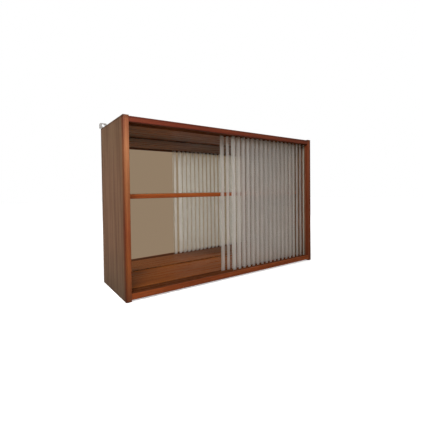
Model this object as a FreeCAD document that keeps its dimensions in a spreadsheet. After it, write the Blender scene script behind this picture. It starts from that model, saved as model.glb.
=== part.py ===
import FreeCAD, Part
import os
import Sketcher
from types import SimpleNamespace

# Wall-hung mirror cabinet: a veneered case with solid front edges, a mirror for a back, one shelf,
# and two frameless glass doors that slide past each other in twin-groove tracks.
# Millimetres. X runs to the right, Y from the front to the wall, Z up.
# The origin is under the middle of the case, level with the lower ends of the sides.

DRIVING_SIZES = {
    # the case
    "cabinet_width": 800,
    "cabinet_depth": 225,
    "cabinet_height": 508,
    "board_thickness": 16,
    "top_setback": 2.5,
    "bottom_setback": 5,
    # solid front edges
    "lipping_depth": 16,
    "lipping_arris": 2.5,
    "rail_setback": 1,
    "rail_depth": 6,
    "rail_arris": 1.5,
    # door tracks
    "track_front_wall": 13,
    "track_land": 11,
    "track_rear_wall": 6,
    "groove_clearance": 0.75,
    "top_track_height": 11,
    "top_groove_depth": 9,
    "bottom_track_height": 6,
    "bottom_groove_depth": 4,
    # glass doors
    "glass_thickness": 4,
    "glass_arris": 0.6,
    "door_overlap": 18,
    "door_end_gap": 1,
    "door_foot_clearance": 0.3,
    "lift_clearance": 0.5,
    "left_door_short_of_end": 39,
    "first_band": 4,
    "band_width": 12,
    "band_pitch": 22.67,
    "band_depth": 0.2,
    # mirror and back board
    "mirror_thickness": 4,
    "mirror_gap": 1,
    "mirror_arris": 1,
    "back_thickness": 4,
    "back_clearance": 0.5,
    "rebate_width": 6,
    # shelf
    "shelf_thickness": 13,
    "shelf_underside": 280,
    "shelf_setback": 5,
    "shelf_lipping_depth": 8,
    "shelf_arris": 1.5,
    "shelf_gap": 1,
    "shelf_pin_radius": 2.5,
    "shelf_pin_seat": 9,
    "shelf_pin_reach": 9,
    "shelf_pin_inset": 35,
    # hanger plates
    "hanger_thickness": 2,
    "hanger_width": 25,
    "hanger_rise": 20,
    "hanger_tang": 45,
    "hanger_shoulder": 1,
    "hanger_corner": 6,
    "eye_radius": 4.5,
    "eye_drop": 8,
    # joints and fastenings
    "tongue_thickness": 6,
    "tongue_length": 8,
    "tongue_inset": 25,
    "screw_radius": 1.75,
    "screw_head_radius": 3.5,
    "screw_slot_width": 1,
    "screw_slot_depth": 0.8,
    "screw_length": 25,
    "screw_tip": 4,
    "screw_drop": 13,
    "screw_pitch": 20,
    "nail_radius": 0.8,
    "nail_length": 20,
    "nail_head_radius": 1.7,
    "nail_head_height": 0.8,
    "nails_along": 3,
    "end_chamfer": 0.8,
    "hole_clearance": 0.05,
    "hole_end_room": 1,
}

LEFT, RIGHT = -1, 1
START_INDEX, END_INDEX, CENTRE_INDEX = 1, 2, 3  # how a sketch counts the points of a line or a circle
CLOSE = 1e-6

doc = FreeCAD.newDocument("mirror_cabinet")
sheet = doc.addObject("Spreadsheet::Sheet", "Sizes")
for row, (alias, millimetres) in enumerate(DRIVING_SIZES.items(), start=1):
    sheet.set(f"A{row}", alias.replace("_", " "))
    sheet.set(f"B{row}", str(millimetres))
    sheet.setAlias(f"B{row}", alias)
doc.recompute()


class Length:
    """A size that carries its number and the formula on the sheet that gives it."""

    def __init__(self, number, formula):
        self.number = number
        self.formula = formula

    def __add__(self, other):
        other = as_length(other)
        return Length(self.number + other.number, f"({self.formula} + {other.formula})")

    def __sub__(self, other):
        other = as_length(other)
        return Length(self.number - other.number, f"({self.formula} - {other.formula})")

    def __mul__(self, other):
        other = as_length(other)
        return Length(self.number * other.number, f"({self.formula} * {other.formula})")

    def __truediv__(self, other):
        other = as_length(other)
        return Length(self.number / other.number, f"({self.formula} / {other.formula})")

    def __neg__(self):
        return self * -1

    def whole(self):
        """The whole number at or below this one."""
        return Length(int(self.number // 1), f"floor({self.formula})")


def as_length(value):
    """A plain number as a Length; a Length stays as it is."""
    return value if isinstance(value, Length) else Length(value, str(value))


lengths = {alias: Length(float(sheet.get(alias)), f"Sizes.{alias}") for alias in DRIVING_SIZES}
size = SimpleNamespace(**lengths)

# Places that several pieces share, measured from the front plane and from the lower ends of the sides
inner_width = size.cabinet_width - size.board_thickness * 2
opening_floor = size.bottom_setback + size.board_thickness
opening_ceiling = size.cabinet_height - size.top_setback - size.board_thickness
bottom_board_middle = size.bottom_setback + size.board_thickness / 2
top_board_middle = opening_ceiling + size.board_thickness / 2
track_front = size.rail_setback + size.rail_depth
door_width = (inner_width - size.door_end_gap * 2 + size.door_overlap) / 2
closed_right_door = inner_width / 2 - size.door_end_gap - door_width
groove_width = size.glass_thickness + size.groove_clearance * 2
front_groove = track_front + size.track_front_wall
rear_groove = front_groove + groove_width + size.track_land
track_back = rear_groove + groove_width + size.track_rear_wall
back_front = size.cabinet_depth - size.hanger_thickness - size.back_thickness
back_rear = back_front + size.back_thickness
mirror_front = back_front - size.mirror_thickness
back_height = size.cabinet_height - size.top_setback - size.bottom_setback
shelf_front = track_back + size.shelf_setback
shelf_back = mirror_front - size.shelf_gap
tongue_front = track_back + size.tongue_inset
tongue_back = back_front - size.tongue_inset
first_shelf_pin = shelf_front + size.shelf_pin_inset
shelf_pin_span = shelf_back - size.shelf_pin_inset - first_shelf_pin
shelf_pin_height = size.shelf_underside - size.shelf_pin_radius
nail_step = inner_width / (size.nails_along + 1)
nail_span = nail_step * (size.nails_along - 1)
side_nail_height = size.bottom_setback + back_height / 2
nail_hole_depth = size.nail_length - size.back_thickness + size.hole_end_room
first_screw = size.cabinet_height - size.screw_drop


def tie(thing, prop, length):
    """Let the sheet drive one property of an object."""
    thing.setExpression(prop, as_length(length).formula)


def new_body(label, across=0):
    """An empty body whose local Y starts at the front plane of the case and X at the given place."""
    body = doc.addObject("PartDesign::Body", label)
    body.Label = label
    tie(body, "Placement.Base.x", across)
    tie(body, "Placement.Base.y", -size.cabinet_depth / 2)
    return body


def origin_part(body, role):
    """An origin plane or axis of the body, by its role."""
    return next(part for part in body.Origin.OriginFeatures if part.Role == role)


def new_sketch(body, name, plane, offset=(0, 0, 0)):
    """A sketch on an origin plane, shifted across it, up it and along its normal."""
    sketch = body.newObject("Sketcher::SketchObject", name)
    sketch.AttachmentSupport = [(origin_part(body, plane), "")]
    sketch.MapMode = "FlatFace"
    for letter, length in zip("xyz", offset):
        tie(sketch, f"AttachmentOffset.Base.{letter}", length)
    return sketch


def tie_point(sketch, geometry, point, across, up):
    """Hold one point of a sketch at the given distances from the sketch's origin."""
    root, upright_axis, level_axis = -1, -2, -1
    for kind, axis, length in (("DistanceX", upright_axis, across), ("DistanceY", level_axis, up)):
        length = as_length(length)
        if length.number == 0:
            sketch.addConstraint(Sketcher.Constraint("PointOnObject", geometry, point, axis))
            continue
        constraint = Sketcher.Constraint(kind, root, START_INDEX, geometry, point, length.number)
        tie(sketch, f"Constraints[{sketch.addConstraint(constraint)}]", length)


def draw_outline(sketch, corners):
    """A closed outline of straight lines, with every corner tied to its formulas."""
    spots = [FreeCAD.Vector(as_length(across).number, as_length(up).number, 0) for across, up in corners]
    lines = [sketch.addGeometry(Part.LineSegment(a, b)) for a, b in zip(spots, spots[1:] + spots[:1])]
    for line, following, (across, up) in zip(lines, lines[1:] + lines[:1], corners):
        sketch.addConstraint(Sketcher.Constraint("Coincident", line, END_INDEX, following, START_INDEX))
        tie_point(sketch, line, START_INDEX, across, up)


def draw_rectangle(sketch, left, low, right, high):
    """A rectangle between two opposite corners."""
    draw_outline(sketch, [(left, low), (right, low), (right, high), (left, high)])


def draw_circle(sketch, across, up, radius):
    """A circle with its centre and radius tied to their formulas."""
    centre = FreeCAD.Vector(as_length(across).number, as_length(up).number, 0)
    circle = sketch.addGeometry(Part.Circle(centre, FreeCAD.Vector(0, 0, 1), radius.number))
    tie_point(sketch, circle, CENTRE_INDEX, across, up)
    index = sketch.addConstraint(Sketcher.Constraint("Radius", circle, radius.number))
    tie(sketch, f"Constraints[{index}]", radius)


def pad(body, name, sketch, length, backwards=False):
    """Extrude a sketch along its normal, or against it."""
    feature = body.newObject("PartDesign::Pad", name)
    feature.Profile = sketch
    feature.Reversed = backwards
    tie(feature, "Length", length)
    doc.recompute()
    return feature


def pocket(body, name, sketch, depth, along_normal=False):
    """Cut a sketch into the body against its normal, or along it, and make sure that it cuts."""
    before = body.Shape.Volume
    feature = body.newObject("PartDesign::Pocket", name)
    feature.Profile = sketch
    feature.Reversed = along_normal
    tie(feature, "Length", depth)
    doc.recompute()
    if not feature.Shape.Volume < before - CLOSE:
        raise ValueError(f"{body.Label}: {name} cuts nothing")
    return feature


def drill(body, name, plane, offset, across, up, radius, depth, along_normal=False):
    """One round hole from a plane that is shifted along its normal."""
    sketch = new_sketch(body, f"{name}_circle", plane, (0, 0, offset))
    draw_circle(sketch, across, up, radius)
    return pocket(body, name, sketch, depth, along_normal)


def turn(body, name, sketch, axis):
    """Revolve a half profile about one of its sketch's axes."""
    feature = body.newObject("PartDesign::Revolution", name)
    feature.Profile = sketch
    feature.ReferenceAxis = (sketch, [axis])
    feature.Angle = 360
    doc.recompute()
    return feature


def repeat(body, name, features, axis, count, span, second=None):
    """Repeat features along an axis over a span, and along a second axis where one is given."""
    pattern = body.newObject("PartDesign::LinearPattern", name)
    pattern.Originals = features
    pattern.Direction = (origin_part(body, axis), [""])
    tie(pattern, "Occurrences", count)
    tie(pattern, "Length", span)
    if second:
        second_axis, second_count, second_span = second
        pattern.Direction2 = (origin_part(body, second_axis), [""])
        tie(pattern, "Occurrences2", second_count)
        tie(pattern, "Length2", second_span)
    body.Tip = pattern
    doc.recompute()
    return pattern


def edge_names(feature, wanted):
    """Names of the edges whose middle passes the test."""
    return [f"Edge{number}" for number, edge in enumerate(feature.Shape.Edges, start=1) if wanted(edge)]


def ease_edges(body, name, kind, feature, wanted, length):
    """Round or bevel the edges that pass the test; kind is Fillet or Chamfer."""
    eased = body.newObject(f"PartDesign::{kind}", name)
    eased.Base = (feature, edge_names(feature, wanted))
    tie(eased, "Radius" if kind == "Fillet" else "Size", length)
    doc.recompute()
    return eased


def at_depth(depth):
    """A test for edges that lie wholly at one depth behind the front plane."""
    def test(edge):
        return all(abs(place - depth.number) < CLOSE for place in (edge.BoundBox.YMin, edge.BoundBox.YMax))
    return test


def long_front_edge(depth):
    """A test for edges along X at one depth behind the front plane."""
    lies_at = at_depth(depth)
    return lambda edge: lies_at(edge) and edge.BoundBox.ZLength < CLOSE


def draw_tongue(sketch, middle, room):
    """The end of a cross board's tongue, or with some room round it the groove that takes the tongue."""
    half = size.tongue_thickness / 2 + room
    draw_rectangle(sketch, tongue_front - room, middle - half, tongue_back + room, middle + half)


def side_panel(label, hand):
    """Side board: rebated behind for the back, notched for the hanger, grooved for the cross boards."""
    outwards = hand == RIGHT
    body = new_body(label, inner_width / 2 * hand)
    outline = new_sketch(body, "outline", "YZ_Plane")
    draw_rectangle(outline, size.lipping_depth, 0, size.cabinet_depth, size.cabinet_height)
    pad(body, "board", outline, size.board_thickness, backwards=not outwards)

    rebate = new_sketch(body, "rebate_outline", "YZ_Plane")
    draw_rectangle(rebate, back_front, 0, size.cabinet_depth, size.cabinet_height)
    pocket(body, "back_rebate", rebate, size.rebate_width, along_normal=outwards)

    notch = new_sketch(body, "notch_outline", "YZ_Plane")
    notch_floor = size.cabinet_height - size.hanger_tang
    draw_rectangle(notch, back_rear, notch_floor, size.cabinet_depth, size.cabinet_height)
    pocket(body, "hanger_notch", notch, size.board_thickness, along_normal=outwards)

    groove = new_sketch(body, "groove_outline", "YZ_Plane")
    draw_tongue(groove, bottom_board_middle, size.hole_clearance)
    groove_depth = size.tongue_length + size.hole_end_room
    lower_groove = pocket(body, "tongue_groove", groove, groove_depth, along_normal=outwards)
    repeat(body, "tongue_grooves", [lower_groove], "Z_Axis", 2, top_board_middle - bottom_board_middle)

    pin_hole = drill(body, "shelf_pin_hole", "YZ_Plane", 0, first_shelf_pin, shelf_pin_height,
                     size.shelf_pin_radius + size.hole_clearance, size.shelf_pin_seat, along_normal=outwards)
    repeat(body, "shelf_pin_holes", [pin_hole], "Y_Axis", 2, shelf_pin_span)

    drill(body, "nail_hole", "XZ_Plane", -back_front, size.rebate_width / 2 * hand, side_nail_height,
          size.nail_radius + size.hole_clearance, nail_hole_depth, along_normal=True)

    pilot_hole = drill(body, "pilot_hole", "XZ_Plane", -back_rear, size.board_thickness / 2 * hand,
                       first_screw - size.screw_pitch, size.screw_radius + size.hole_clearance,
                       size.screw_length - size.hanger_thickness + size.hole_end_room, along_normal=True)
    repeat(body, "pilot_holes", [pilot_hole], "Z_Axis", 2, size.screw_pitch)
    return body


def side_lipping(label, hand):
    """Solid strip glued to the front edge of a side board, its whole front face rounded over."""
    body = new_body(label, inner_width / 2 * hand)
    outline = new_sketch(body, "outline", "YZ_Plane")
    draw_rectangle(outline, 0, 0, size.lipping_depth, size.cabinet_height)
    strip = pad(body, "strip", outline, size.board_thickness, backwards=hand == LEFT)
    ease_edges(body, "rounded_front", "Fillet", strip, at_depth(as_length(0)), size.lipping_arris)
    return body


def cross_board(label, corners, middle):
    """Top or bottom board, stepped along its front for the door track, with a tongue at each end."""
    body = new_body(label, -inner_width / 2)
    section = new_sketch(body, "section", "YZ_Plane")
    draw_outline(section, corners)
    pad(body, "board", section, inner_width)

    tongue = new_sketch(body, "tongue_end", "YZ_Plane", (0, 0, -size.tongue_length))
    draw_tongue(tongue, middle, 0)
    pad(body, "tongues", tongue, inner_width + size.tongue_length * 2)

    nail_hole = drill(body, "nail_hole", "XZ_Plane", -back_front, nail_step, middle,
                      size.nail_radius + size.hole_clearance, nail_hole_depth, along_normal=True)
    repeat(body, "nail_holes", [nail_hole], "X_Axis", size.nails_along, nail_span)
    return body


def top_panel():
    """Top board, with the step for the deep track on its underside."""
    high = opening_ceiling + size.board_thickness
    housing_roof = opening_ceiling + size.top_track_height
    corners = [(track_front, housing_roof), (track_back, housing_roof), (track_back, opening_ceiling),
               (back_front, opening_ceiling), (back_front, high), (track_front, high)]
    return cross_board("top_panel", corners, top_board_middle)


def bottom_panel():
    """Bottom board, with the step for the shallow track on its upper face."""
    low = size.bottom_setback
    housing_floor = opening_floor - size.bottom_track_height
    corners = [(track_front, low), (back_front, low), (back_front, opening_floor),
               (track_back, opening_floor), (track_back, housing_floor), (track_front, housing_floor)]
    return cross_board("bottom_panel", corners, bottom_board_middle)


def edge_strip(label, across, length, front, back, low, high, arris):
    """Solid front strip along X, with its two long front arrises rounded."""
    body = new_body(label, across)
    section = new_sketch(body, "section", "YZ_Plane")
    draw_rectangle(section, front, low, back, high)
    strip = pad(body, "strip", section, length)
    ease_edges(body, "rounded_front", "Fillet", strip, long_front_edge(front), arris)
    return body


def front_rail(label, low):
    """Solid rail between the side lippings, in front of a door track."""
    return edge_strip(label, -inner_width / 2, inner_width, size.rail_setback, track_front,
                      low, low + size.board_thickness, size.rail_arris)


def door_track(label, mouth, groove_end, far_side):
    """Track strip with a groove for each door, open at the mouth."""
    body = new_body(label, -inner_width / 2)
    section = new_sketch(body, "section", "YZ_Plane")
    corners = [(track_front, mouth)]
    for groove in (front_groove, rear_groove):
        groove_back = groove + groove_width
        corners += [(groove, mouth), (groove, groove_end), (groove_back, groove_end), (groove_back, mouth)]
    corners += [(track_back, mouth), (track_back, far_side), (track_front, far_side)]
    draw_outline(section, corners)
    pad(body, "strip", section, inner_width)
    return body


def glass_door(label, groove, left_edge):
    """Clear pane with ground arrises, cut from a sheet with matt bands blasted into its rear face."""
    foot = opening_floor - size.bottom_groove_depth + size.door_foot_clearance
    head = opening_ceiling + size.top_groove_depth - size.bottom_groove_depth - size.lift_clearance
    front = groove + size.groove_clearance
    rear = front + size.glass_thickness
    body = new_body(label, left_edge)
    outline = new_sketch(body, "outline", "XZ_Plane", (0, 0, -front))
    draw_rectangle(outline, 0, foot, door_width, head)
    pane = pad(body, "pane", outline, size.glass_thickness, backwards=True)
    lies_in_front, lies_behind = at_depth(front), at_depth(rear)
    ease_edges(body, "ground_arris", "Chamfer", pane,
               lambda edge: lies_in_front(edge) or lies_behind(edge), size.glass_arris)

    gaps = ((door_width - size.first_band) / size.band_pitch).whole()
    band = new_sketch(body, "band_outline", "XZ_Plane", (0, 0, -rear))
    draw_rectangle(band, size.first_band, foot, size.first_band + size.band_width, head)
    blasted = pocket(body, "matt_band", band, size.band_depth, along_normal=True)
    repeat(body, "matt_bands", [blasted], "X_Axis", gaps + 1, size.band_pitch * gaps)
    return body


def back_mirror():
    """Mirror that stands on the bottom board and fills the back, with a ground front arris."""
    body = new_body("back_mirror", size.mirror_gap - inner_width / 2)
    outline = new_sketch(body, "outline", "XZ_Plane", (0, 0, -mirror_front))
    draw_rectangle(outline, 0, opening_floor, inner_width - size.mirror_gap * 2,
                   opening_ceiling - size.mirror_gap)
    glass = pad(body, "glass", outline, size.mirror_thickness, backwards=True)
    ease_edges(body, "ground_arris", "Chamfer", glass, at_depth(mirror_front), size.mirror_arris)
    return body


def back_board():
    """Thin board behind the mirror, in the rebates of the sides and over the ends of top and bottom."""
    overlap = size.rebate_width - size.back_clearance
    body = new_body("back_board", -inner_width / 2 - overlap)
    outline = new_sketch(body, "outline", "XZ_Plane", (0, 0, -back_front))
    draw_rectangle(outline, 0, size.bottom_setback, inner_width + overlap * 2,
                   size.bottom_setback + back_height)
    pad(body, "board", outline, size.back_thickness, backwards=True)

    hole_radius = size.nail_radius + size.hole_clearance
    row_hole = drill(body, "row_hole", "XZ_Plane", -back_front, overlap + nail_step,
                     bottom_board_middle, hole_radius, size.back_thickness)
    repeat(body, "row_holes", [row_hole], "X_Axis", size.nails_along, nail_span,
           second=("Z_Axis", 2, top_board_middle - bottom_board_middle))
    side_hole = drill(body, "side_hole", "XZ_Plane", -back_front, overlap - size.rebate_width / 2,
                      side_nail_height, hole_radius, size.back_thickness)
    repeat(body, "side_holes", [side_hole], "X_Axis", 2, inner_width + size.rebate_width)
    return body


def shelf_board():
    """Loose shelf on four pins, behind the tracks and just clear of the mirror."""
    body = new_body("shelf_board", size.shelf_gap - inner_width / 2)
    section = new_sketch(body, "section", "YZ_Plane")
    draw_rectangle(section, shelf_front + size.shelf_lipping_depth, size.shelf_underside,
                   shelf_back, size.shelf_underside + size.shelf_thickness)
    pad(body, "board", section, inner_width - size.shelf_gap * 2)
    return body


def shelf_lipping():
    """Solid front edge of the shelf."""
    return edge_strip("shelf_lipping", size.shelf_gap - inner_width / 2, inner_width - size.shelf_gap * 2,
                      shelf_front, shelf_front + size.shelf_lipping_depth,
                      size.shelf_underside, size.shelf_underside + size.shelf_thickness, size.shelf_arris)


def shelf_pins():
    """Four metal pins that carry the shelf, two in each side, bevelled at their free ends."""
    body = new_body("shelf_pins")
    radius, bevel = size.shelf_pin_radius, size.end_chamfer
    pins = []
    for name, hand in (("left_pin", LEFT), ("right_pin", RIGHT)):
        seat_end, free_end = size.shelf_pin_seat * hand, -size.shelf_pin_reach * hand
        profile = new_sketch(body, f"{name}_profile", "XY_Plane",
                             (inner_width / 2 * hand, first_shelf_pin, shelf_pin_height))
        draw_outline(profile, [(seat_end, 0), (free_end, 0), (free_end, radius - bevel),
                               (free_end + bevel * hand, radius), (seat_end, radius)])
        pins.append(turn(body, name, profile, "H_Axis"))
    repeat(body, "pin_pairs", pins, "Y_Axis", 2, shelf_pin_span)
    return body


def hole_rim(depth, height, radius):
    """A test for the rim of one round hole, by its depth, the height of its middle and its radius."""
    lies_at = at_depth(depth)
    slack = radius.number / 10

    def test(edge):
        box = edge.BoundBox
        same_size = abs(box.ZLength - radius.number * 2) < slack
        same_height = abs((box.ZMin + box.ZMax) / 2 - height.number) < slack
        return lies_at(edge) and same_size and same_height
    return test


def hanger_plate(label, hand):
    """Steel plate let in flush behind a side; its wider head with the eye stands above the top."""
    middle = (inner_width + size.board_thickness) / 2 * hand
    half_head = size.hanger_width / 2
    half_tang = size.board_thickness / 2
    shoulder = size.cabinet_height + size.hanger_shoulder
    crown = size.cabinet_height + size.hanger_rise
    body = new_body(label, middle)
    outline = new_sketch(body, "outline", "XZ_Plane", (0, 0, -back_rear))
    draw_outline(outline, [(-half_tang, size.cabinet_height - size.hanger_tang),
                           (half_tang, size.cabinet_height - size.hanger_tang),
                           (half_tang, shoulder), (half_head, shoulder), (half_head, crown),
                           (-half_head, crown), (-half_head, shoulder), (-half_tang, shoulder)])
    plate = pad(body, "plate", outline, size.hanger_thickness, backwards=True)

    def top_corner(edge):
        return edge.BoundBox.ZMin > crown.number - CLOSE and edge.BoundBox.XLength < CLOSE
    ease_edges(body, "rounded_head", "Fillet", plate, top_corner, size.hanger_corner)

    drill(body, "eye", "XZ_Plane", -back_rear, 0, crown - size.eye_drop, size.eye_radius,
          size.hanger_thickness)
    hole_radius = size.screw_radius + size.hole_clearance
    for name, height in (("lower_hole", first_screw - size.screw_pitch), ("upper_hole", first_screw)):
        hole = drill(body, name, "XZ_Plane", -back_rear, 0, height, hole_radius, size.hanger_thickness)
        ease_edges(body, f"{name}_countersink", "Chamfer", hole,
                   hole_rim(size.cabinet_depth, height, hole_radius),
                   size.screw_head_radius - size.screw_radius)
    return body


def hanger_screws():
    """Countersunk slotted screws, two in each hanger plate."""
    body = new_body("hanger_screws")
    spacing = inner_width + size.board_thickness
    lower = first_screw - size.screw_pitch
    head_height = size.screw_head_radius - size.screw_radius
    profile = new_sketch(body, "screw_profile", "XY_Plane", (-spacing / 2, size.cabinet_depth, lower))
    draw_outline(profile, [(0, 0), (size.screw_head_radius, 0), (size.screw_radius, -head_height),
                           (size.screw_radius, size.screw_tip - size.screw_length),
                           (0, -size.screw_length)])
    screw = turn(body, "screw", profile, "V_Axis")

    half_slot = size.screw_slot_width / 2
    slot_outline = new_sketch(body, "slot_outline", "XZ_Plane", (-spacing / 2, lower, -size.cabinet_depth))
    draw_rectangle(slot_outline, -size.screw_head_radius, -half_slot, size.screw_head_radius, half_slot)
    slot = pocket(body, "driver_slot", slot_outline, size.screw_slot_depth, along_normal=True)
    repeat(body, "screw_pairs", [screw, slot], "X_Axis", 2, spacing, second=("Z_Axis", 2, size.screw_pitch))
    return body


def panel_nail(body, name, across, height):
    """A panel nail driven from behind, its small tapered head on the back board."""
    profile = new_sketch(body, f"{name}_profile", "XY_Plane", (across, back_rear, height))
    draw_outline(profile, [(0, size.nail_head_height), (size.nail_head_radius, size.nail_head_height),
                           (size.nail_radius, 0), (size.nail_radius, -size.nail_length),
                           (0, -size.nail_length)])
    return turn(body, name, profile, "V_Axis")


def back_board_nails():
    """Panel nails: a row into the top and bottom boards, and one into each side's rebate."""
    body = new_body("back_board_nails")
    row_nail = panel_nail(body, "row_nail", nail_step - inner_width / 2, bottom_board_middle)
    repeat(body, "row_nails", [row_nail], "X_Axis", size.nails_along, nail_span,
           second=("Z_Axis", 2, top_board_middle - bottom_board_middle))
    side_nail = panel_nail(body, "side_nail", -(inner_width + size.rebate_width) / 2, side_nail_height)
    repeat(body, "side_nails", [side_nail], "X_Axis", 2, inner_width + size.rebate_width)
    return body


pieces = [
    side_panel("left_side_panel", LEFT),
    side_panel("right_side_panel", RIGHT),
    side_lipping("left_side_lipping", LEFT),
    side_lipping("right_side_lipping", RIGHT),
    top_panel(),
    bottom_panel(),
    front_rail("top_front_rail", opening_ceiling),
    front_rail("bottom_front_rail", size.bottom_setback),
    door_track("top_door_track", opening_ceiling, opening_ceiling + size.top_groove_depth,
               opening_ceiling + size.top_track_height),
    door_track("bottom_door_track", opening_floor, opening_floor - size.bottom_groove_depth,
               opening_floor - size.bottom_track_height),
    glass_door("left_door_glass", rear_groove, closed_right_door - size.left_door_short_of_end),
    glass_door("right_door_glass", front_groove, closed_right_door),
    back_mirror(),
    back_board(),
    shelf_board(),
    shelf_lipping(),
    shelf_pins(),
    hanger_plate("left_hanger_plate", LEFT),
    hanger_plate("right_hanger_plate", RIGHT),
    hanger_screws(),
    back_board_nails(),
]

doc.recompute()
for thing in doc.Objects:
    if "Invalid" in thing.State or "Error" in thing.State:
        raise ValueError(f"{thing.Label} failed: {thing.State}")
for piece in pieces:
    if piece.Shape.isNull() or not piece.Shape.isValid():
        raise ValueError(f"{piece.Label} has no valid shape")

os.makedirs("parts", exist_ok=True)
for piece in pieces:
    piece.Shape.exportStep(f"parts/{piece.Label}.step")
    box = piece.Shape.BoundBox
    print(f"{piece.Label}: {len(piece.Shape.Solids)} solids, {piece.Shape.Volume / 1000:.1f} cm3,",
          f"x {box.XMin:.1f} to {box.XMax:.1f}, y {box.YMin:.1f} to {box.YMax:.1f},",
          f"z {box.ZMin:.1f} to {box.ZMax:.1f}")
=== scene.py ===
import bpy
import math
from mathutils import Matrix, Vector


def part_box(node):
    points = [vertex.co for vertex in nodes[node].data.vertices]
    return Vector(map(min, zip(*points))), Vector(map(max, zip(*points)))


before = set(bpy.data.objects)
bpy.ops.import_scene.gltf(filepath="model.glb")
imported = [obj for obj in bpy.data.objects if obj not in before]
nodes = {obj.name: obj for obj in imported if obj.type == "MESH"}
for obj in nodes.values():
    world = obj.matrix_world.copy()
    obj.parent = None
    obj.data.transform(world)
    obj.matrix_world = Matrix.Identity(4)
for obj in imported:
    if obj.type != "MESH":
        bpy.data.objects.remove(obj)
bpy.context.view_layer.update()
MM = 0.001

# Side boards
# The two upright boards of the case: particle board faced with teak veneer whose grain runs up,
# tongued to the top and bottom and finished with a thin satin oil.


def linear(hex_colour):
    """An sRGB hex colour as linear red, green, blue and an alpha of one."""
    channels = [int(hex_colour[i:i + 2], 16) / 255 for i in (1, 3, 5)]
    return [c / 12.92 if c <= 0.04045 else ((c + 0.055) / 1.055) ** 2.4 for c in channels] + [1.0]


def add(tree, kind, links=None, stops=None, **settings):
    """One shader node. Links maps its sockets to values or to the outputs that feed them,
    and stops are the places and colours of a colour ramp."""
    node = tree.nodes.new("ShaderNode" + kind)
    for setting, value in settings.items():
        setattr(node, setting, value)
    for place, colour in stops or []:
        element = node.color_ramp.elements.new(place)
        element.color = colour
    if stops:
        node.color_ramp.elements.remove(node.color_ramp.elements[0])
        node.color_ramp.elements.remove(node.color_ramp.elements[-1])
    for socket, value in (links or {}).items():
        if isinstance(value, bpy.types.NodeSocket):
            tree.links.new(value, node.inputs[socket])
        else:
            node.inputs[socket].default_value = value
    return node


def new_material(name):
    """An empty node material and its tree, with only an output in it."""
    material = bpy.data.materials.new(name)
    material.use_nodes = True
    material.node_tree.nodes.clear()
    return material, material.node_tree, add(material.node_tree, "OutputMaterial")


def dress(material, *names):
    """Give CAD nodes their material."""
    for name in names:
        nodes[name].data.materials.clear()
        nodes[name].data.materials.append(material)


COLOUR_A, COLOUR_B, COLOUR_OUT = 6, 7, 2  # the sockets of a Mix node that is set to colours
UPRIGHT, LEVEL = "Z", "X"  # the axis that the grain follows
NOISE_LOW, NOISE_HIGH = 0.3, 0.7  # nearly all values of a noise texture lie between these


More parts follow.
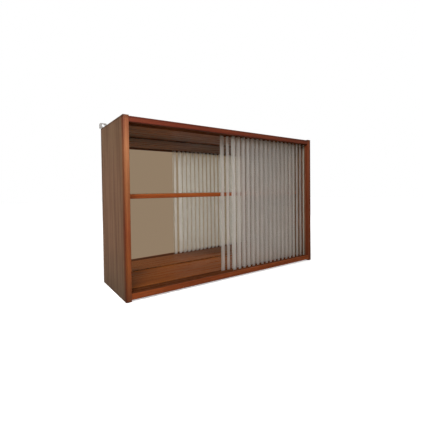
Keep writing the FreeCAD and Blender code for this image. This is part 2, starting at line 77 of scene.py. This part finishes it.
def oiled_wood(name, grain, dark, middle, light, roughness=0.45, gloss=0.2, **tints):
    """Oiled hardwood: long streaks of growth rings, finer fibres and short open pores along the grain.
    The eye gets a warm brown with darker lines, a satin sheen, and slightly paler rubbed edges.
    Tints give for an axis the places in metres and the colours the wood is multiplied by there;
    most of them are painted shade and painted sheen."""
    dark, middle, light = linear(dark), linear(middle), linear(light)
    broad_figure = 70 * MM
    streak_width = 9 * MM
    fibre_width = 1.4 * MM
    pore_width = 0.8 * MM  # real pores are about 0.3 mm wide, drawn coarser so that they show
    relief_depth = 0.12 * MM
    edge_radius = 0.9 * MM
    figure_share = 0.42  # of the broad figure in the growth rings' tone
    pore_share = 0.45  # of the dark colour in a pore
    rubbed_share = 0.35  # of the light colour on a rubbed edge
    deep_fibre, raised_fibre = 0.86, 1.1  # brightness of the fibres against the wood around them
    tint_reach = 0.6  # metres to either side of the origin in which a tint may lie
    material, tree, output = new_material(name)
    place = add(tree, "TexCoord").outputs["Object"]

    def along_grain(stretch):
        """The object's coordinates, pressed together along the grain by the given stretch."""
        scale = [1 / stretch if axis == grain else 1 for axis in "XYZ"]
        return add(tree, "Mapping", {"Vector": place, "Scale": scale}).outputs["Vector"]

    figure = add(tree, "TexNoise", {"Vector": along_grain(9), "Scale": 1 / broad_figure, "Detail": 2,
                                    "Distortion": 0.6})
    streaks = add(tree, "TexNoise", {"Vector": along_grain(45), "Scale": 1 / streak_width, "Detail": 4,
                                     "Roughness": 0.62, "Distortion": 0.25})
    fibres = add(tree, "TexNoise", {"Vector": along_grain(40), "Scale": 1 / fibre_width, "Detail": 2})
    pores = add(tree, "TexNoise", {"Vector": along_grain(14), "Scale": 1 / pore_width, "Detail": 1})

    lines = add(tree, "Mix", {"Factor": figure_share, "A": streaks.outputs["Fac"],
                              "B": figure.outputs["Fac"]})
    tone = add(tree, "ValToRGB", {"Fac": lines.outputs["Result"]},
               stops=[(0.34, dark), (0.5, middle), (0.66, light)])
    pore_mark = add(tree, "MapRange", {"Value": pores.outputs["Fac"], "From Min": 0.58, "From Max": 0.7,
                                       "To Min": 0, "To Max": pore_share})
    fibre_shade = add(tree, "MapRange", {"Value": fibres.outputs["Fac"], "From Min": NOISE_LOW,
                                         "From Max": NOISE_HIGH, "To Min": deep_fibre,
                                         "To Max": raised_fibre})
    fibred = add(tree, "Mix", {"Factor": 1.0, COLOUR_A: tone.outputs["Color"],
                               COLOUR_B: fibre_shade.outputs["Result"]},
                 data_type="RGBA", blend_type="MULTIPLY")
    pored = add(tree, "Mix", {"Factor": pore_mark.outputs["Result"],
                              COLOUR_A: fibred.outputs[COLOUR_OUT], COLOUR_B: dark}, data_type="RGBA")

    rounded = add(tree, "Bevel", {"Radius": edge_radius}, samples=4)
    flat = add(tree, "NewGeometry").outputs["True Normal"]
    facing = add(tree, "VectorMath", {0: rounded.outputs["Normal"], 1: flat}, operation="DOT_PRODUCT")
    rubbed = add(tree, "MapRange", {"Value": facing.outputs["Value"], "From Min": 0.97,
                                    "From Max": 0.75, "To Min": 0, "To Max": rubbed_share})
    worn = add(tree, "Mix", {"Factor": rubbed.outputs["Result"], COLOUR_A: pored.outputs[COLOUR_OUT],
                             COLOUR_B: light}, data_type="RGBA")

    tinted = worn
    axes = add(tree, "SeparateXYZ", {"Vector": place}).outputs
    for axis, tint in tints.items():
        spot = add(tree, "MapRange", {"Value": axes[axis], "From Min": -tint_reach,
                                      "From Max": tint_reach})
        stops = [((metres + tint_reach) / (2 * tint_reach), linear(colour)) for metres, colour in tint]
        # Each tint multiplies the colour; most tints are painted shade and painted sheen.
        tint_by_place = add(tree, "ValToRGB", {"Fac": spot.outputs["Result"]}, stops=stops)
        tinted = add(tree, "Mix", {"Factor": 1.0, COLOUR_A: tinted.outputs[COLOUR_OUT],
                                   COLOUR_B: tint_by_place.outputs["Color"]},
                     data_type="RGBA", blend_type="MULTIPLY")

    sheen = add(tree, "MapRange", {"Value": streaks.outputs["Fac"], "From Min": NOISE_LOW,
                                   "From Max": NOISE_HIGH, "To Min": roughness + 0.07,
                                   "To Max": roughness - 0.05})
    relief = add(tree, "Math", {0: fibres.outputs["Fac"], 1: pore_mark.outputs["Result"]},
                 operation="SUBTRACT")
    bump = add(tree, "Bump", {"Height": relief.outputs["Value"], "Strength": 0.35,
                              "Distance": relief_depth})
    shader = add(tree, "BsdfPrincipled", {"Base Color": tinted.outputs[COLOUR_OUT],
                                          "Roughness": sheen.outputs["Result"],
                                          "Specular IOR Level": gloss,
                                          "Normal": bump.outputs["Normal"]})
    tree.links.new(shader.outputs["BSDF"], output.inputs["Surface"])
    return material


# Painted shade: over its height the veneer is greyer at the foot and near the top and darker on its top
# end, over its depth darker at the front.
painted_side_shade_by_height = [(0.0, "#C9D2D6"), (0.07, "#E8EEF0"), (0.15, "#FFFFFF"), (0.33, "#FFFFFF"), (0.48, "#E9EEE9"),
           (0.503, "#E4E4E0"), (0.506, "#B4ACA6")]
painted_side_shade_by_depth = [(-0.1, "#E0DDD8"), (0.0, "#F1F0EE"), (0.08, "#FFFFFF")]
# The grey base of this veneer is partly a fade and partly a painted sheen.
faded_and_sheen_veneer = oiled_wood("faded_and_sheen_teak_veneer", UPRIGHT, "#684C3B", "#876652", "#9B7C64", roughness=0.5,
                          Z=painted_side_shade_by_height, Y=painted_side_shade_by_depth)
dress(faded_and_sheen_veneer, "left_side_panel", "right_side_panel")

# Side lippings
# Solid teak strips glued to the front edges of the side boards and rounded over by hand.
# The left one is painted lighter just below its top as a painted sheen, and darker towards its foot,
# on its top end and on its outer face as painted shade. Its paler wood and the right one's darker wood
# are partly their own tone and partly painted light, lighter on the side where the light is stronger.
painted_sheen_and_shade_by_height = [(0.0, "#A58775"), (0.1, "#CAA073"), (0.2, "#D6AD95"), (0.3, "#E9DCCB"), (0.42, "#FFFFFF"),
          (0.497, "#D0B8B8"), (0.504, "#A29490")]
# Painted shade on the outer face of the left strip.
painted_shade_on_outer_face = [(-0.3975, "#CEBCB3"), (-0.3955, "#FFFFFF")]
pale_teak = oiled_wood("pale_solid_teak", UPRIGHT, "#7E4D2F", "#9B6643", "#AF845A", Z=painted_sheen_and_shade_by_height, X=painted_shade_on_outer_face)
dress(pale_teak, "left_side_lipping")
shaded = [(0.0, "#D2D0DF"), (0.25, "#DFDDE6"), (0.42, "#FFFFFF"), (0.495, "#FFFFFF"),
          (0.504, "#D2D2D2")]
dark_teak = oiled_wood("dark_solid_teak", UPRIGHT, "#582510", "#703316", "#88441F", Z=shaded)
dress(dark_teak, "right_side_lipping")

# Top and bottom boards
# Veneered boards between the sides, with the grain across the cabinet and a step for each track.
# Inside they are smooth enough to catch a soft reflection, and on top the upper one has faded.
faded_above = [(0.491, "#FFFFFF"), (0.497, "#C4D8F0")]
brown_veneer = oiled_wood("brown_teak_veneer", LEVEL, "#5A290C", "#733810", "#874C1A", roughness=0.28,
                          gloss=0.04, Z=faded_above)
dress(brown_veneer, "top_panel")
fresh_veneer = oiled_wood("fresh_teak_veneer", LEVEL, "#602C08", "#7D3E0D", "#915115", roughness=0.28,
                          gloss=0.06)
dress(fresh_veneer, "bottom_panel")

# Front rails
# Solid teak strips that close the front of the top and bottom boards and hide the tracks' edges,
# glued on and rounded. The upper one is redder, and darker along its top face.
darker_top_face = [(0.497, "#FFFFFF"), (0.503, "#D6CFCA")]
red_teak = oiled_wood("red_solid_teak", LEVEL, "#471A0F", "#5D2617", "#703520", Z=darker_top_face)
dress(red_teak, "top_front_rail")
warm_teak = oiled_wood("warm_solid_teak", LEVEL, "#662B0D", "#813D16", "#975222")
dress(warm_teak, "bottom_front_rail")

# Door tracks
# Strips of darker teak, ploughed with a groove for each door, deep above and shallow below,
# and glued into the steps of the top and bottom boards. They are left dull, without oil.
dull_teak = oiled_wood("dull_dark_teak", LEVEL, "#42200C", "#552B11", "#683919", roughness=0.7,
                       gloss=0.08)
dress(dull_teak, "top_door_track", "bottom_door_track")

# Mirror
# A sheet of silvered glass that stands on the bottom board and fills the back of the case.
# A narrow dark uneven line along its edges is painted shade of the gaps where it meets the case,
# and it is slightly warped.


def silvered_glass(name, silver, gap_shade_colour, edge_colour):
    """Silvered float glass: a near perfect reflection, faintly hazed by a dusty film, with dull ground
    edges and a dark uneven line of painted shade along its edges: there the distance to the nearest
    edge is below the line's width. The warp is only in the normal, whose tilt changes from the foot to
    the top."""
    haze_size = 90 * MM
    gap_shade_wobble_size = 12 * MM
    line_width = 2.2 * MM
    face_skin = 0.2 * MM
    most_haze = 0.035
    edge_roughness = 0.4
    tilt_top = math.radians(1.5)  # a tilt says how far the face looks upwards there
    tilt_foot_left = math.radians(1.15)
    tilt_foot_right = math.radians(-0.55)
    low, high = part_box("back_mirror")
    material, tree, output = new_material(name)
    place = add(tree, "TexCoord").outputs["Object"]
    haze = add(tree, "TexNoise", {"Vector": place, "Scale": 1 / haze_size, "Detail": 5})
    polish = add(tree, "MapRange", {"Value": haze.outputs["Fac"], "From Min": 0.4, "From Max": 0.8,
                                    "To Min": 0.0, "To Max": most_haze})
    across, depth, height = add(tree, "SeparateXYZ", {"Vector": place}).outputs[:3]

    from_left = add(tree, "Math", {0: across, 1: low.x}, operation="SUBTRACT")
    from_right = add(tree, "Math", {0: high.x, 1: across}, operation="SUBTRACT")
    from_foot = add(tree, "Math", {0: height, 1: low.z}, operation="SUBTRACT")
    from_top = add(tree, "Math", {0: high.z, 1: height}, operation="SUBTRACT")
    sideways = add(tree, "Math", {0: from_left.outputs["Value"], 1: from_right.outputs["Value"]},
                   operation="MINIMUM")
    upright = add(tree, "Math", {0: from_foot.outputs["Value"], 1: from_top.outputs["Value"]},
                  operation="MINIMUM")
    from_edge = add(tree, "Math", {0: sideways.outputs["Value"], 1: upright.outputs["Value"]},
                    operation="MINIMUM")
    gap_shade_wobble = add(tree, "TexNoise", {"Vector": place, "Scale": 1 / gap_shade_wobble_size, "Detail": 3})
    gap_shade_reach = add(tree, "MapRange", {"Value": gap_shade_wobble.outputs["Fac"], "From Min": NOISE_LOW,
                                   "From Max": NOISE_HIGH, "To Min": line_width * 0.6,
                                   "To Max": line_width * 1.4})
    # Painted shade: a dark line along the edges, where the gaps to the boards are.
    in_gap_shade = add(tree, "Math", {0: from_edge.outputs["Value"], 1: gap_shade_reach.outputs["Result"]},
               operation="LESS_THAN")
    behind_face = add(tree, "Math", {0: depth, 1: low.y + face_skin}, operation="GREATER_THAN")
    backed = add(tree, "Mix", {"Factor": in_gap_shade.outputs["Value"], COLOUR_A: silver, COLOUR_B: gap_shade_colour},
                 data_type="RGBA")
    tone = add(tree, "Mix", {"Factor": behind_face.outputs["Value"],
                             COLOUR_A: backed.outputs[COLOUR_OUT], COLOUR_B: edge_colour},
               data_type="RGBA")
    dull = add(tree, "Math", {0: in_gap_shade.outputs["Value"], 1: behind_face.outputs["Value"]},
               operation="MAXIMUM")
    metal = add(tree, "Math", {0: 1.0, 1: dull.outputs["Value"]}, operation="SUBTRACT")
    roughness = add(tree, "Math", {0: behind_face.outputs["Value"], 1: edge_roughness,
                                   2: polish.outputs["Result"]}, operation="MULTIPLY_ADD")
    foot_tilt = add(tree, "MapRange", {"Value": across, "From Min": low.x, "From Max": high.x,
                                       "To Min": tilt_foot_left, "To Max": tilt_foot_right})
    tilt = add(tree, "MapRange", {"Value": height, "From Min": low.z, "From Max": high.z,
                                  "To Min": foot_tilt.outputs["Result"], "To Max": tilt_top})
    upwards = add(tree, "CombineXYZ", {"Z": tilt.outputs["Result"]})
    flat_face = add(tree, "NewGeometry").outputs["Normal"]
    turned = add(tree, "VectorMath", {0: flat_face, 1: upwards.outputs["Vector"]}, operation="ADD")
    warped_face = add(tree, "VectorMath", {0: turned.outputs["Vector"]}, operation="NORMALIZE")
    shader = add(tree, "BsdfPrincipled", {"Base Color": tone.outputs[COLOUR_OUT],
                                          "Metallic": metal.outputs["Value"],
                                          "Roughness": roughness.outputs["Value"],
                                          "Normal": warped_face.outputs["Vector"]})
    tree.links.new(shader.outputs["BSDF"], output.inputs["Surface"])
    return material


silver = linear("#EEF0EC")
# The colour of the painted shade along the mirror's edges.
gap_shade_colour = linear("#241A12")
ground_edge = linear("#7C8C82")
dress(silvered_glass("silvered_mirror_glass", silver, gap_shade_colour, ground_edge), "back_mirror")

# Back board
# A sheet of brown hardboard, 4 mm thick, that covers the back of the mirror.
# It is held by small nails into the sides and the rear edges of the top and bottom boards.


def hardboard(name, dark, light):
    """Hardboard: pressed wood fibre, a mottled brown felt of short hairs with a matt face."""
    fibre_size = 2.5 * MM
    mottle_size = 30 * MM
    hair_depth = 0.2 * MM
    mottle_share = 0.35
    material, tree, output = new_material(name)
    place = add(tree, "TexCoord").outputs["Object"]
    hairs = add(tree, "TexNoise", {"Vector": place, "Scale": 1 / fibre_size, "Detail": 5,
                                   "Roughness": 0.7, "Distortion": 1.5})
    mottle = add(tree, "TexNoise", {"Vector": place, "Scale": 1 / mottle_size, "Detail": 3})
    both = add(tree, "Mix", {"Factor": mottle_share, "A": hairs.outputs["Fac"],
                             "B": mottle.outputs["Fac"]})
    tone = add(tree, "ValToRGB", {"Fac": both.outputs["Result"]}, stops=[(0.35, dark), (0.65, light)])
    roughness = add(tree, "MapRange", {"Value": hairs.outputs["Fac"], "To Min": 0.65, "To Max": 0.85})
    bump = add(tree, "Bump", {"Height": hairs.outputs["Fac"], "Strength": 0.4, "Distance": hair_depth})
    shader = add(tree, "BsdfPrincipled", {"Base Color": tone.outputs["Color"],
                                          "Roughness": roughness.outputs["Result"],
                                          "Normal": bump.outputs["Normal"]})
    tree.links.new(shader.outputs["BSDF"], output.inputs["Surface"])
    return material


dress(hardboard("brown_hardboard", linear("#5B4330"), linear("#8A6A4C")), "back_board")

# Shelf
# A loose board of the same veneer as the bottom, with a solid teak strip glued to its front edge.
# It rests on four steel pins in the sides.
dress(fresh_veneer, "shelf_board")
dress(warm_teak, "shelf_lipping")

# Steel fittings
# Zinc plated hanger plates let into the rear edges of the sides, with their screws,
# and the drawn steel of the shelf pins and of the nails through the back board.


def plated_steel(name, colour, stain_colour, smoothest):
    """Steel with a thin bright finish: cloudy metal, fine rolling lines and a few dull stains."""
    cloud_size = 7 * MM
    line_width = 0.5 * MM
    line_depth = 0.03 * MM
    stained_share = 0.6
    material, tree, output = new_material(name)
    place = add(tree, "TexCoord").outputs["Object"]
    clouds = add(tree, "TexNoise", {"Vector": place, "Scale": 1 / cloud_size, "Detail": 4})
    rolled = add(tree, "Mapping", {"Vector": place, "Scale": (1, 1, 0.04)})
    lines = add(tree, "TexNoise", {"Vector": rolled.outputs["Vector"], "Scale": 1 / line_width})
    stain = add(tree, "MapRange", {"Value": clouds.outputs["Fac"], "From Min": 0.5, "From Max": 0.75,
                                   "To Min": 0, "To Max": stained_share})
    tone = add(tree, "Mix", {"Factor": stain.outputs["Result"], COLOUR_A: colour,
                             COLOUR_B: stain_colour}, data_type="RGBA")
    roughness = add(tree, "MapRange", {"Value": clouds.outputs["Fac"], "From Min": NOISE_LOW,
                                       "From Max": NOISE_HIGH, "To Min": smoothest,
                                       "To Max": smoothest + 0.2})
    bump = add(tree, "Bump", {"Height": lines.outputs["Fac"], "Strength": 0.2, "Distance": line_depth})
    shader = add(tree, "BsdfPrincipled", {"Base Color": tone.outputs[COLOUR_OUT], "Metallic": 1.0,
                                          "Roughness": roughness.outputs["Result"],
                                          "Normal": bump.outputs["Normal"]})
    tree.links.new(shader.outputs["BSDF"], output.inputs["Surface"])
    return material


dress(plated_steel("zinc_plated_steel", linear("#A6A7A8"), linear("#787776"), smoothest=0.32),
      "left_hanger_plate", "right_hanger_plate", "hanger_screws")
dress(plated_steel("drawn_steel", linear("#A7A49E"), linear("#6E655B"), smoothest=0.28),
      "shelf_pins", "back_board_nails")

# Glass doors
# Two frameless panes of float glass with ground edges, cut from a sheet that is blasted with matt
# upright bands on its rear face. The left door runs in the rear groove, the right one in the front one.
first_band = 4 * MM
band_pitch = 22.67 * MM
band_width = 12 * MM
band_fade = 0.5 * MM
band_skin = 0.4 * MM


def banded_glass(name, door, matt_colour, edge_colour):
    """Float glass, clear with a plain reflection, whose rear face is matt and white in upright bands:
    there the fraction of the distance from the first band over the pitch is below the width over the
    pitch. The bands are painted denser and brighter in their lower half and thinner and darker near the
    top, as painted light and painted shade."""
    grit_size = 1.2 * MM  # blasting grit is finer, drawn coarser so that it shows
    grit_depth = 0.1 * MM
    cloud_size = 60 * MM
    edge_skin = 0.3 * MM
    # Painted light and shade: a band's cover is higher low down and lower near the top.
    painted_light_by_height = [(0.03, 0.5), (0.15, 0.56), (0.36, 0.475),
                      (0.41, 0.43), (0.445, 0.37), (0.485, 0.35)]  # metres, and a band's cover there
    cloud_share = 0.15  # by which the clouds make a band denser
    let_through = 0.55  # of the light on a band that comes out at the other side
    edge_cover = 0.55  # of the ground look on an edge
    face_on_mirroring = 0.08  # by both faces of a pane
    low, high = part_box(door)
    material, tree, output = new_material(name)
    place = add(tree, "TexCoord").outputs["Object"]
    across, depth, height = add(tree, "SeparateXYZ", {"Vector": place}).outputs[:3]

    from_first = add(tree, "Math", {0: across, 1: low.x + first_band}, operation="SUBTRACT")
    steps = add(tree, "Math", {0: from_first.outputs["Value"], 1: band_pitch}, operation="DIVIDE")
    in_step = add(tree, "Math", {0: steps.outputs["Value"]}, operation="FRACT")
    share = band_width / band_pitch
    from_middle = add(tree, "Math", {0: in_step.outputs["Value"], 1: share / 2}, operation="SUBTRACT")
    off_middle = add(tree, "Math", {0: from_middle.outputs["Value"]}, operation="ABSOLUTE")
    fade = band_fade / band_pitch
    band = add(tree, "MapRange", {"Value": off_middle.outputs["Value"],
                                  "From Min": (share + fade) / 2, "From Max": (share - fade) / 2})
    on_rear = add(tree, "Math", {0: depth, 1: high.y - band_skin}, operation="GREATER_THAN")
    matt = add(tree, "Math", {0: band.outputs["Result"], 1: on_rear.outputs["Value"]},
               operation="MULTIPLY")

    grit = add(tree, "TexNoise", {"Vector": place, "Scale": 1 / grit_size, "Detail": 3})
    clouds = add(tree, "TexNoise", {"Vector": place, "Scale": 1 / cloud_size, "Detail": 3})
    painted_light_stops = [(metres, (cover, cover, cover, 1)) for metres, cover in painted_light_by_height]
    painted_light_ramp = add(tree, "ValToRGB", {"Fac": height}, stops=painted_light_stops)
    cover = add(tree, "Math", {0: clouds.outputs["Fac"], 1: cloud_share, 2: painted_light_ramp.outputs["Color"]},
                operation="MULTIPLY_ADD")
    matt_share = add(tree, "Math", {0: matt.outputs["Value"], 1: cover.outputs["Value"]},
                     operation="MULTIPLY")
    bump = add(tree, "Bump", {"Height": grit.outputs["Fac"], "Strength": 0.3, "Distance": grit_depth})

    # Glass mirrors more at a slant, by about the fifth power.
    slant = add(tree, "LayerWeight", {"Blend": 0.5}).outputs["Facing"]
    glancing = add(tree, "Math", {0: slant, 1: 5.0}, operation="POWER")
    both_faces = add(tree, "MapRange", {"Value": glancing.outputs["Value"],
                                        "To Min": face_on_mirroring, "To Max": 1.0})
    inside = add(tree, "NewGeometry").outputs["Backfacing"]
    outside = add(tree, "Math", {0: 1.0, 1: inside}, operation="SUBTRACT")
    mirrored = add(tree, "Math", {0: both_faces.outputs["Result"], 1: outside.outputs["Value"]},
                   operation="MULTIPLY")
    through = add(tree, "BsdfTransparent", {"Color": linear("#FCFDFC")})
    polish = add(tree, "BsdfGlossy", {"Color": linear("#FFFFFF"), "Roughness": 0.02})
    clear = add(tree, "MixShader", {0: mirrored.outputs["Value"], 1: through.outputs["BSDF"],
                                    2: polish.outputs["BSDF"]})
    frost = add(tree, "BsdfPrincipled", {"Base Color": matt_colour, "Roughness": 0.7, "IOR": 1.5,
                                         "Normal": bump.outputs["Normal"]})
    glow = add(tree, "BsdfTranslucent", {"Color": matt_colour})
    blasted = add(tree, "MixShader", {0: let_through, 1: frost.outputs["BSDF"],
                                      2: glow.outputs["BSDF"]})
    face = add(tree, "MixShader", {0: matt_share.outputs["Value"], 1: clear.outputs["Shader"],
                                   2: blasted.outputs["Shader"]})

    at_ends = []
    for along, start, end in ((across, low.x, high.x), (height, low.z, high.z)):
        from_centre = add(tree, "Math", {0: along, 1: (start + end) / 2}, operation="SUBTRACT")
        off_centre = add(tree, "Math", {0: from_centre.outputs["Value"]}, operation="ABSOLUTE")
        at_end = add(tree, "Math", {0: off_centre.outputs["Value"], 1: (end - start) / 2 - edge_skin},
                     operation="GREATER_THAN")
        at_ends.append(at_end.outputs["Value"])
    edge = add(tree, "Math", {0: at_ends[0], 1: at_ends[1]}, operation="MAXIMUM")
    edge_share = add(tree, "Math", {0: edge.outputs["Value"], 1: edge_cover}, operation="MULTIPLY")
    ground = add(tree, "BsdfPrincipled", {"Base Color": edge_colour, "Roughness": 0.35, "IOR": 1.5})
    pane = add(tree, "MixShader", {0: edge_share.outputs["Value"], 1: face.outputs["Shader"],
                                   2: ground.outputs["BSDF"]})
    tree.links.new(pane.outputs["Shader"], output.inputs["Surface"])
    return material


matt_white = linear("#F2EDEC")
glass_edge = linear("#C4C6BE")
dress(banded_glass("banded_glass_left", "left_door_glass", matt_white, glass_edge), "left_door_glass")
dress(banded_glass("banded_glass_right", "right_door_glass", matt_white, glass_edge),
      "right_door_glass")

# Floor and studio
# A plain floor that is white to the camera, and two walls that only reflections show, under soft light
# from the upper left and from behind. In the mirror they look cream. They are no part of the cabinet.


def stage_sheet(name, corners, mirrored_colour):
    """A flat sheet of four corners: pale matt paint that fades to white for the camera away from the
    middle, and an even plain colour in the mirror."""
    fade_start, fade_end = 0.35, 0.8  # metres from the middle
    glow_start, glow_end = 0.5, 0.8  # what the paint adds to its own shade there
    paint_colour, paint_as_seen = linear("#EFE9E0"), linear("#F4F4F4")
    mesh = bpy.data.meshes.new(name)
    mesh.from_pydata(corners, [], [(0, 1, 2, 3)])
    sheet = bpy.data.objects.new(name, mesh)
    bpy.context.scene.collection.objects.link(sheet)
    material, tree, output = new_material(name + "_paint")
    place = add(tree, "TexCoord").outputs["Object"]
    distance = add(tree, "VectorMath", {0: place}, operation="LENGTH")
    fade = add(tree, "MapRange", {"Value": distance.outputs["Value"], "From Min": fade_start,
                                  "From Max": fade_end, "To Min": glow_start, "To Max": glow_end})
    rays = add(tree, "LightPath").outputs
    tone = add(tree, "Mix", {"Factor": rays["Is Camera Ray"], COLOUR_A: paint_colour,
                             COLOUR_B: paint_as_seen}, data_type="RGBA")
    lift = add(tree, "Math", {0: rays["Is Camera Ray"], 1: fade.outputs["Result"]},
               operation="MULTIPLY")
    paint = add(tree, "BsdfPrincipled", {"Base Color": tone.outputs[COLOUR_OUT], "Roughness": 0.9,
                                         "Specular IOR Level": 0.1, "Emission Color": linear("#FFFFFF"),
                                         "Emission Strength": lift.outputs["Value"]})
    mirrored = add(tree, "Emission", {"Color": mirrored_colour})
    look = add(tree, "MixShader", {0: rays["Is Glossy Ray"], 1: paint.outputs["BSDF"],
                                   2: mirrored.outputs["Emission"]})
    tree.links.new(look.outputs["Shader"], output.inputs["Surface"])
    mesh.materials.append(material)
    return sheet


cream = linear("#9B856F")
reach = 8.0
level = -0.5 * MM
wall_height = 3.0
wall_distance = 2.4
stage_sheet("floor", [(-reach, -reach, level), (reach, -reach, level), (reach, reach, level),
                      (-reach, reach, level)], cream)
for wall_name, wall_place in (("front_wall", -wall_distance), ("rear_wall", wall_distance)):
    wall = stage_sheet(wall_name, [(-reach, wall_place, level), (reach, wall_place, level),
                                   (reach, wall_place, wall_height), (-reach, wall_place, wall_height)],
                       cream)
    wall.visible_camera = False
    wall.visible_diffuse = False
    wall.visible_shadow = False

world = bpy.data.worlds.new("studio")
world.use_nodes = True
bpy.context.scene.world = world
sky = world.node_tree
sky.nodes.clear()
rays = add(sky, "LightPath").outputs
reflected = add(sky, "Math", {0: rays["Is Glossy Ray"], 1: rays["Is Transmission Ray"]},
                operation="MAXIMUM")
as_seen = add(sky, "Math", {0: rays["Is Camera Ray"], 1: reflected.outputs["Value"]},
              operation="MAXIMUM")
daylight = 0.26
strength = add(sky, "MapRange", {"Value": as_seen.outputs["Value"], "To Min": daylight, "To Max": 1.0})
background = add(sky, "Background", {"Color": linear("#FFFFFF"),
                                     "Strength": strength.outputs["Result"]})
add(sky, "OutputWorld", {"Surface": background.outputs["Background"]})


def soft_lamp(name, place, aim, size, power, colour):
    """A square area lamp that points at a spot. Places and sizes are in metres, the power in watts."""
    lamp = bpy.data.lights.new(name, "AREA")
    lamp.size = size
    lamp.energy = power
    lamp.color = colour[:3]
    holder = bpy.data.objects.new(name, lamp)
    turn = (Vector(aim) - Vector(place)).to_track_quat("-Z", "Y").to_matrix().to_4x4()
    holder.matrix_world = Matrix.Translation(place) @ turn
    bpy.context.scene.collection.objects.link(holder)


white_light = linear("#FFFFFF")
soft_lamp("window_lamp", place=(-0.7, -0.75, 0.95), aim=(-0.1, 0, 0.25), size=0.5, power=15,
          colour=white_light)
soft_lamp("rear_lamp", place=(1.3, 1.5, 1.0), aim=(0.1, 0, 0.25), size=1.6, power=12,
          colour=white_light)

# Camera
# It stands left of the cabinet and in front of it, a little above the middle, as in the photograph.
# The focal length and the optical centre are in pixels of an image of this width.
image_width = 423
focal_pixels = 287.25
optical_centre = (205.68, 196.52)
camera_place = Vector((-0.6529, -0.8673, 0.3027))
yaw = math.radians(34.287)
pitch = math.radians(-1.288)
roll = math.radians(-0.728)

view_line = Vector((math.sin(yaw) * math.cos(pitch), math.cos(yaw) * math.cos(pitch), math.sin(pitch)))
level_right = Vector((math.cos(yaw), -math.sin(yaw), 0))
level_up = level_right.cross(view_line)
camera_right = level_right * math.cos(roll) + level_up * math.sin(roll)
camera_up = level_up * math.cos(roll) - level_right * math.sin(roll)
camera_data = bpy.data.cameras.new("photo_camera")
camera_data.sensor_width = 36
camera_data.lens = focal_pixels / image_width * camera_data.sensor_width
camera_data.shift_x = 0.5 - optical_centre[0] / image_width
camera_data.shift_y = optical_centre[1] / image_width - 0.5
camera = bpy.data.objects.new("photo_camera", camera_data)
turned = Matrix((camera_right, camera_up, -view_line)).transposed().to_4x4()
camera.matrix_world = Matrix.Translation(camera_place) @ turned
bpy.context.scene.collection.objects.link(camera)
bpy.context.scene.camera = camera
bpy.context.scene.view_settings.view_transform = "Standard"
